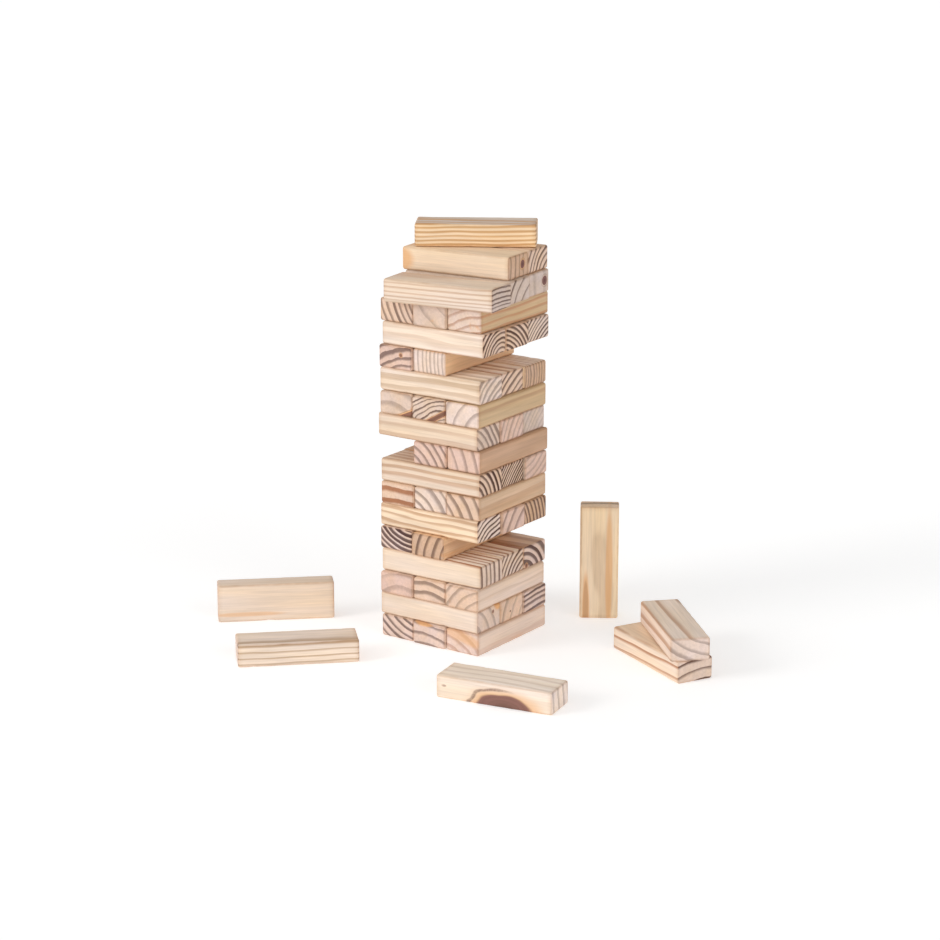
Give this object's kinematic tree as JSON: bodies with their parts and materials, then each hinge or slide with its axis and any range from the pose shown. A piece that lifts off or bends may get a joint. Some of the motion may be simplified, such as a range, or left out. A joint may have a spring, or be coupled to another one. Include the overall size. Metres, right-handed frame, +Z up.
{
  "type": "giant tumbling tower",
  "caption": "Stack of plain pine blocks laid side by side in crossed layers, part-way through a game, with some loose blocks lying around it.",
  "frame": {"origin": "on the ground under the middle of the tower", "axes": "+Z up; the first layer's blocks lie along Y, the second layer's along X; -Y and +X are the two faces seen from the front corner"},
  "size_m": [0.6642, 0.4615, 0.5398],
  "materials": {
    "pine_tower": "planed and lightly sanded bare pine, unvarnished",
    "pine_loose": "planed and lightly sanded bare pine, unvarnished"
  },
  "bodies": {
    "layer_01_left": {"layer_01_left": "pine_tower"},
    "layer_01_middle": {"layer_01_middle": "pine_tower"},
    "layer_01_right": {"layer_01_right": "pine_tower"},
    "layer_02_front": {"layer_02_front": "pine_tower"},
    "layer_02_middle": {"layer_02_middle": "pine_tower"},
    "layer_02_back": {"layer_02_back": "pine_tower"},
    "layer_03_left": {"layer_03_left": "pine_tower"},
    "layer_03_middle": {"layer_03_middle": "pine_tower"},
    "layer_03_right": {"layer_03_right": "pine_tower"},
    "layer_04_front": {"layer_04_front": "pine_tower"},
    "layer_04_middle": {"layer_04_middle": "pine_tower"},
    "layer_04_back": {"layer_04_back": "pine_tower"},
    "layer_05_left": {"layer_05_left": "pine_tower"},
    "layer_05_middle": {"layer_05_middle": "pine_tower"},
    "layer_06_front": {"layer_06_front": "pine_tower"},
    "layer_06_middle": {"layer_06_middle": "pine_tower"},
    "layer_06_back": {"layer_06_back": "pine_tower"},
    "layer_07_left": {"layer_07_left": "pine_tower"},
    "layer_07_middle": {"layer_07_middle": "pine_tower"},
    "layer_07_right": {"layer_07_right": "pine_tower"},
    "layer_08_front": {"layer_08_front": "pine_tower"},
    "layer_08_middle": {"layer_08_middle": "pine_tower"},
    "layer_08_back": {"layer_08_back": "pine_tower"},
    "layer_09_middle": {"layer_09_middle": "pine_tower"},
    "layer_09_right": {"layer_09_right": "pine_tower"},
    "layer_10_front": {"layer_10_front": "pine_tower"},
    "layer_10_middle": {"layer_10_middle": "pine_tower"},
    "layer_10_back": {"layer_10_back": "pine_tower"},
    "layer_11_left": {"layer_11_left": "pine_tower"},
    "layer_11_middle": {"layer_11_middle": "pine_tower"},
    "layer_11_right": {"layer_11_right": "pine_tower"},
    "layer_12_front": {"layer_12_front": "pine_tower"},
    "layer_12_middle": {"layer_12_middle": "pine_tower"},
    "layer_12_back": {"layer_12_back": "pine_tower"},
    "layer_13_left": {"layer_13_left": "pine_tower"},
    "layer_13_middle": {"layer_13_middle": "pine_tower"},
    "layer_14_front": {"layer_14_front": "pine_tower"},
    "layer_14_middle": {"layer_14_middle": "pine_tower"},
    "layer_14_back": {"layer_14_back": "pine_tower"},
    "layer_15_left": {"layer_15_left": "pine_tower"},
    "layer_15_middle": {"layer_15_middle": "pine_tower"},
    "layer_15_right": {"layer_15_right": "pine_tower"},
    "layer_16_front": {"layer_16_front": "pine_tower"},
    "layer_16_middle": {"layer_16_middle": "pine_tower"},
    "layer_16_back": {"layer_16_back": "pine_tower"},
    "layer_17_middle": {"layer_17_middle": "pine_tower"},
    "layer_17_back": {"layer_17_back": "pine_tower"},
    "layer_18_top": {"layer_18_top": "pine_tower"},
    "loose_on_edge": {"loose_on_edge": "pine_loose"},
    "loose_flat_left": {"loose_flat_left": "pine_loose"},
    "loose_flat_front": {"loose_flat_front": "pine_loose"},
    "loose_upright": {"loose_upright": "pine_loose"},
    "loose_pair_lower": {"loose_pair_lower": "pine_loose"},
    "loose_pair_upper": {"loose_pair_upper": "pine_loose"}
  },
  "joints": [
    {"name": "layer_18_top_lift", "type": "slide", "parent": "layer_01_middle", "child": "layer_18_top", "axis": [0, 0, 1], "range_m": [0, 0.1]},
    {"name": "loose_on_edge_lift", "type": "slide", "parent": "layer_01_middle", "child": "loose_on_edge", "axis": [0, 0, 1], "range_m": [0, 0.6]},
    {"name": "loose_flat_left_lift", "type": "slide", "parent": "layer_01_middle", "child": "loose_flat_left", "axis": [0, 0, 1], "range_m": [0, 0.6]},
    {"name": "loose_flat_front_lift", "type": "slide", "parent": "layer_01_middle", "child": "loose_flat_front", "axis": [0, 0, 1], "range_m": [0, 0.6]},
    {"name": "loose_upright_lift", "type": "slide", "parent": "layer_01_middle", "child": "loose_upright", "axis": [0, 0, 1], "range_m": [0, 0.6]},
    {"name": "loose_pair_lower_lift", "type": "slide", "parent": "layer_01_middle", "child": "loose_pair_lower", "axis": [0, 0, 1], "range_m": [0, 0.6]},
    {"name": "loose_pair_upper_lift", "type": "slide", "parent": "loose_pair_lower", "child": "loose_pair_upper", "axis": [0, 0, 1], "range_m": [0, 0.1]},
    {"name": "layer_17_middle_slide", "type": "slide", "parent": "layer_01_middle", "child": "layer_17_middle", "axis": [0.996, 0.0889, 0], "range_m": [-0.16, 0.16]},
    {"name": "layer_17_back_slide", "type": "slide", "parent": "layer_01_middle", "child": "layer_17_back", "axis": [0.996, 0.0889, 0], "range_m": [-0.16, 0.16]},
    {"name": "layer_16_front_slide", "type": "slide", "parent": "layer_01_middle", "child": "layer_16_front", "axis": [0.9921, 0.1253, 0], "range_m": [-0.16, 0]},
    {"name": "layer_16_middle_slide", "type": "slide", "parent": "layer_01_middle", "child": "layer_16_middle", "axis": [0.9973, 0.0732, 0], "range_m": [-0.16, 0.16]},
    {"name": "layer_16_back_slide", "type": "slide", "parent": "layer_01_middle", "child": "layer_16_back", "axis": [0.9973, 0.0732, 0], "range_m": [-0.16, 0.16]},
    {"name": "layer_15_left_slide", "type": "slide", "parent": "layer_01_middle", "child": "layer_15_left", "axis": [-0.0175, 0.9998, 0], "range_m": [-0.16, 0.16]},
    {"name": "layer_15_middle_slide", "type": "slide", "parent": "layer_01_middle", "child": "layer_15_middle", "axis": [-0.0175, 0.9998, 0], "range_m": [-0.16, 0.16]},
    {"name": "layer_15_right_slide", "type": "slide", "parent": "layer_01_middle", "child": "layer_15_right", "axis": [-0.0175, 0.9998, 0], "range_m": [-0.16, 0.16]},
    {"name": "layer_14_front_slide", "type": "slide", "parent": "layer_01_middle", "child": "layer_14_front", "axis": [0.9998, 0.0192, 0], "range_m": [-0.16, 0.16]},
    {"name": "layer_14_middle_slide", "type": "slide", "parent": "layer_01_middle", "child": "layer_14_middle", "axis": [0.9998, 0.0192, 0], "range_m": [-0.16, 0.16]},
    {"name": "layer_14_back_slide", "type": "slide", "parent": "layer_01_middle", "child": "layer_14_back", "axis": [0.9998, 0.0192, 0], "range_m": [-0.16, 0.16]},
    {"name": "layer_13_left_slide", "type": "slide", "parent": "layer_01_middle", "child": "layer_13_left", "axis": [0, 1, 0], "range_m": [-0.16, 0.16]},
    {"name": "layer_13_middle_slide", "type": "slide", "parent": "layer_01_middle", "child": "layer_13_middle", "axis": [0, 1, 0], "range_m": [-0.16, 0.16]},
    {"name": "layer_12_front_slide", "type": "slide", "parent": "layer_01_middle", "child": "layer_12_front", "axis": [0.9999, 0.0122, 0], "range_m": [-0.16, 0.16]},
    {"name": "layer_12_middle_slide", "type": "slide", "parent": "layer_01_middle", "child": "layer_12_middle", "axis": [0.9999, 0.0122, 0], "range_m": [-0.16, 0.16]},
    {"name": "layer_12_back_slide", "type": "slide", "parent": "layer_01_middle", "child": "layer_12_back", "axis": [0.9999, 0.0122, 0], "range_m": [-0.16, 0.16]},
    {"name": "layer_11_left_slide", "type": "slide", "parent": "layer_01_middle", "child": "layer_11_left", "axis": [-0.0087, 1, 0], "range_m": [-0.16, 0.16]},
    {"name": "layer_11_middle_slide", "type": "slide", "parent": "layer_01_middle", "child": "layer_11_middle", "axis": [-0.0087, 1, 0], "range_m": [-0.16, 0.16]},
    {"name": "layer_11_right_slide", "type": "slide", "parent": "layer_01_middle", "child": "layer_11_right", "axis": [-0.0087, 1, 0], "range_m": [-0.16, 0.16]},
    {"name": "layer_10_front_slide", "type": "slide", "parent": "layer_01_middle", "child": "layer_10_front", "axis": [1, 0.0052, 0], "range_m": [-0.16, 0.16]},
    {"name": "layer_10_middle_slide", "type": "slide", "parent": "layer_01_middle", "child": "layer_10_middle", "axis": [1, 0.0052, 0], "range_m": [-0.16, 0.16]},
    {"name": "layer_10_back_slide", "type": "slide", "parent": "layer_01_middle", "child": "layer_10_back", "axis": [1, 0.0052, 0], "range_m": [-0.16, 0.16]},
    {"name": "layer_09_middle_slide", "type": "slide", "parent": "layer_01_middle", "child": "layer_09_middle", "axis": [0.0017, 1, 0], "range_m": [-0.16, 0.16]},
    {"name": "layer_09_right_slide", "type": "slide", "parent": "layer_01_middle", "child": "layer_09_right", "axis": [0.0017, 1, 0], "range_m": [-0.16, 0.16]},
    {"name": "layer_08_front_slide", "type": "slide", "parent": "layer_01_middle", "child": "layer_08_front", "axis": [1, 0.0052, 0], "range_m": [-0.16, 0.16]},
    {"name": "layer_08_middle_slide", "type": "slide", "parent": "layer_01_middle", "child": "layer_08_middle", "axis": [1, 0.0052, 0], "range_m": [-0.16, 0.16]},
    {"name": "layer_08_back_slide", "type": "slide", "parent": "layer_01_middle", "child": "layer_08_back", "axis": [1, 0.0052, 0], "range_m": [-0.16, 0.16]},
    {"name": "layer_07_left_slide", "type": "slide", "parent": "layer_01_middle", "child": "layer_07_left", "axis": [-0.0087, 1, 0], "range_m": [-0.16, 0.16]},
    {"name": "layer_07_middle_slide", "type": "slide", "parent": "layer_01_middle", "child": "layer_07_middle", "axis": [-0.0087, 1, 0], "range_m": [-0.16, 0.16]},
    {"name": "layer_07_right_slide", "type": "slide", "parent": "layer_01_middle", "child": "layer_07_right", "axis": [-0.0087, 1, 0], "range_m": [-0.16, 0.16]},
    {"name": "layer_06_front_slide", "type": "slide", "parent": "layer_01_middle", "child": "layer_06_front", "axis": [1, -0.007, 0], "range_m": [-0.16, 0.16]},
    {"name": "layer_06_middle_slide", "type": "slide", "parent": "layer_01_middle", "child": "layer_06_middle", "axis": [1, -0.007, 0], "range_m": [-0.16, 0.16]},
    {"name": "layer_06_back_slide", "type": "slide", "parent": "layer_01_middle", "child": "layer_06_back", "axis": [1, -0.007, 0], "range_m": [-0.16, 0.16]},
    {"name": "layer_05_left_slide", "type": "slide", "parent": "layer_01_middle", "child": "layer_05_left", "axis": [0.0017, 1, 0], "range_m": [-0.16, 0.16]},
    {"name": "layer_05_middle_slide", "type": "slide", "parent": "layer_01_middle", "child": "layer_05_middle", "axis": [0.0017, 1, 0], "range_m": [-0.16, 0.16]},
    {"name": "layer_04_front_slide", "type": "slide", "parent": "layer_01_middle", "child": "layer_04_front", "axis": [0.9999, 0.014, 0], "range_m": [-0.16, 0.16]},
    {"name": "layer_04_middle_slide", "type": "slide", "parent": "layer_01_middle", "child": "layer_04_middle", "axis": [0.9999, 0.014, 0], "range_m": [-0.16, 0.16]},
    {"name": "layer_04_back_slide", "type": "slide", "parent": "layer_01_middle", "child": "layer_04_back", "axis": [0.9999, 0.014, 0], "range_m": [-0.16, 0.16]},
    {"name": "layer_03_left_slide", "type": "slide", "parent": "layer_01_middle", "child": "layer_03_left", "axis": [-0.0052, 1, 0], "range_m": [-0.16, 0.16]},
    {"name": "layer_03_middle_slide", "type": "slide", "parent": "layer_01_middle", "child": "layer_03_middle", "axis": [-0.0052, 1, 0], "range_m": [-0.16, 0.16]},
    {"name": "layer_03_right_slide", "type": "slide", "parent": "layer_01_middle", "child": "layer_03_right", "axis": [-0.0052, 1, 0], "range_m": [-0.16, 0.16]},
    {"name": "layer_02_front_slide", "type": "slide", "parent": "layer_01_middle", "child": "layer_02_front", "axis": [1, -0.0052, 0], "range_m": [0, 0.16]},
    {"name": "layer_02_middle_slide", "type": "slide", "parent": "layer_01_middle", "child": "layer_02_middle", "axis": [1, -0.0052, 0], "range_m": [-0.16, 0.16]},
    {"name": "layer_02_back_slide", "type": "slide", "parent": "layer_01_middle", "child": "layer_02_back", "axis": [1, -0.0052, 0], "range_m": [-0.16, 0]},
    {"name": "layer_01_left_slide", "type": "slide", "parent": "layer_01_middle", "child": "layer_01_left", "axis": [0.0035, 1, 0], "range_m": [0, 0.16]},
    {"name": "layer_01_right_slide", "type": "slide", "parent": "layer_01_middle", "child": "layer_01_right", "axis": [0.0035, 1, 0], "range_m": [-0.16, 0.16]}
  ]
}
